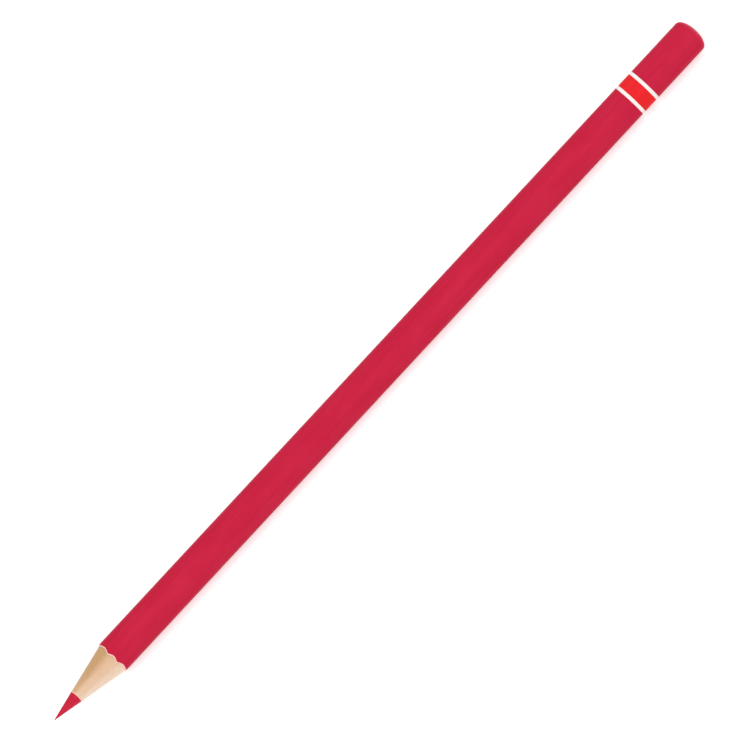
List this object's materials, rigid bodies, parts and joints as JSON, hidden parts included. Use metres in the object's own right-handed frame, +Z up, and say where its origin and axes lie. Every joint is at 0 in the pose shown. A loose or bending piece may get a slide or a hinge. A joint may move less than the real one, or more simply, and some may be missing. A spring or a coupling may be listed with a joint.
{
  "type": "copying pencil",
  "caption": "Wood-cased copying pencil with a soft hexagonal crimson barrel, a sharpened crimson core, a white-edged vermilion band and a rounded dipped end.",
  "frame": {"origin": "middle of the pencil's length, on the flat that it lies on", "axes": "+X along the pencil from its point to its rounded end, +Z up from the flat that it lies on"},
  "size_m": [0.175, 0.0072, 0.007],
  "materials": {
    "coloured_core": "matte",
    "lower_slat": "matte",
    "upper_slat": "matte",
    "glue_film": "satin",
    "undercoat": "matte",
    "body_lacquer": "gloss",
    "front_white_ring": "gloss",
    "vermilion_band": "gloss",
    "rear_white_ring": "gloss",
    "end_seal": "matte",
    "end_dip": "gloss"
  },
  "bodies": {
    "root": {"coloured_core": "coloured_core", "lower_slat": "lower_slat", "upper_slat": "upper_slat", "glue_film": "glue_film", "undercoat": "undercoat", "body_lacquer": "body_lacquer", "front_white_ring": "front_white_ring", "vermilion_band": "vermilion_band", "rear_white_ring": "rear_white_ring", "end_seal": "end_seal", "end_dip": "end_dip"}
  },
  "joints": []
}
